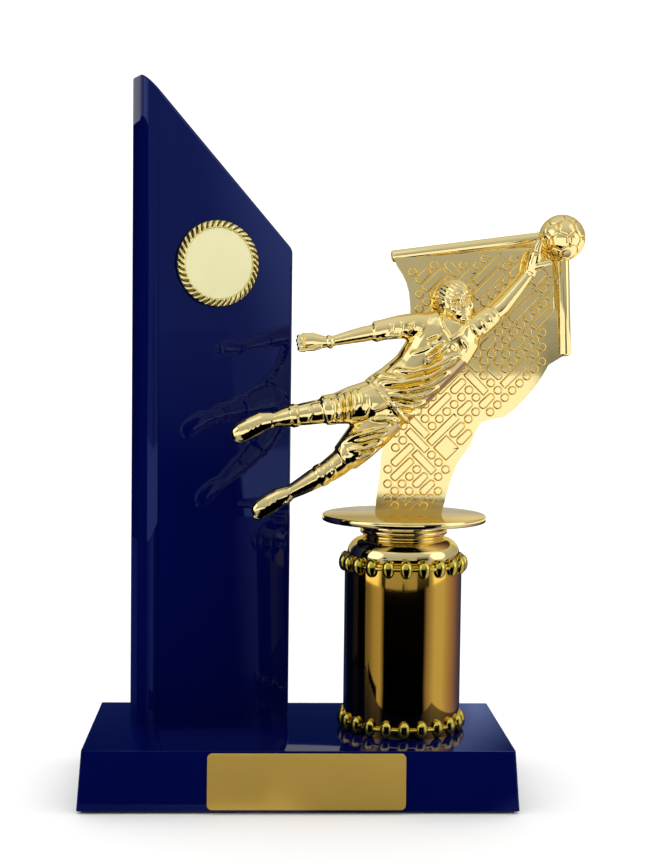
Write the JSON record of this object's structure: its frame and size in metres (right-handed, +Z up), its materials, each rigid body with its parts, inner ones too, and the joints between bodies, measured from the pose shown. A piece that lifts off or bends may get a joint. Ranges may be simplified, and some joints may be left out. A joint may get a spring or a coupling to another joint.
{
  "type": "column trophy",
  "caption": "Column trophy with a slanted lacquered back panel, a round medal and a gold diving goalkeeper figure on a beaded foil column.",
  "frame": {"origin": "middle of the underside of the base, on the surface that the trophy stands on", "axes": "+Z up, +X to the right as seen from the front, +Y to the back; the engraving plate faces -Y"},
  "size_m": [0.1757, 0.0758, 0.2537],
  "materials": {
    "navy_lacquer": "high-gloss navy blue lacquer",
    "felt": "black felt",
    "plate_gold": "satin gold anodised, blank",
    "tape": "white foam tape",
    "medal_gold": "bright gold with diamond-cut rim",
    "insert_gold": "satin pale gold, blank",
    "steel": "zinc plated",
    "column_foil": "polished bronze-gold foil",
    "bead_gold": "bright yellow-gold metallised",
    "black_plastic": "moulded",
    "figure_gold": "pale champagne-gold metallised, mirror bright"
  },
  "bodies": {
    "stand": {"felt_pad": "felt", "base_block": "navy_lacquer", "name_plate": "plate_gold", "plate_tape": "tape", "back_panel": "navy_lacquer", "medal_rim": "medal_gold", "medal_insert": "insert_gold", "medal_tape": "tape", "panel_screw_1": "steel", "panel_screw_2": "steel", "column_tube": "column_foil", "lower_bead_ring": "bead_gold", "upper_bead_ring": "bead_gold", "lower_plug": "black_plastic", "upper_plug": "black_plastic", "column_cap": "figure_gold", "threaded_rod": "steel", "rod_washer": "steel", "rod_nut": "steel"},
    "figure_stage": {"figure_disc": "figure_gold", "figure_nut": "steel", "goal_net": "figure_gold", "crossbar": "figure_gold", "goal_post": "figure_gold", "football": "figure_gold", "goalkeeper": "figure_gold"}
  },
  "joints": [
    {"name": "figure_turn", "type": "hinge", "parent": "stand", "child": "figure_stage", "pos_m": [0.0374, 0, 0.0958], "axis": [0, 0, 1], "range_deg": [-10, 120]}
  ]
}
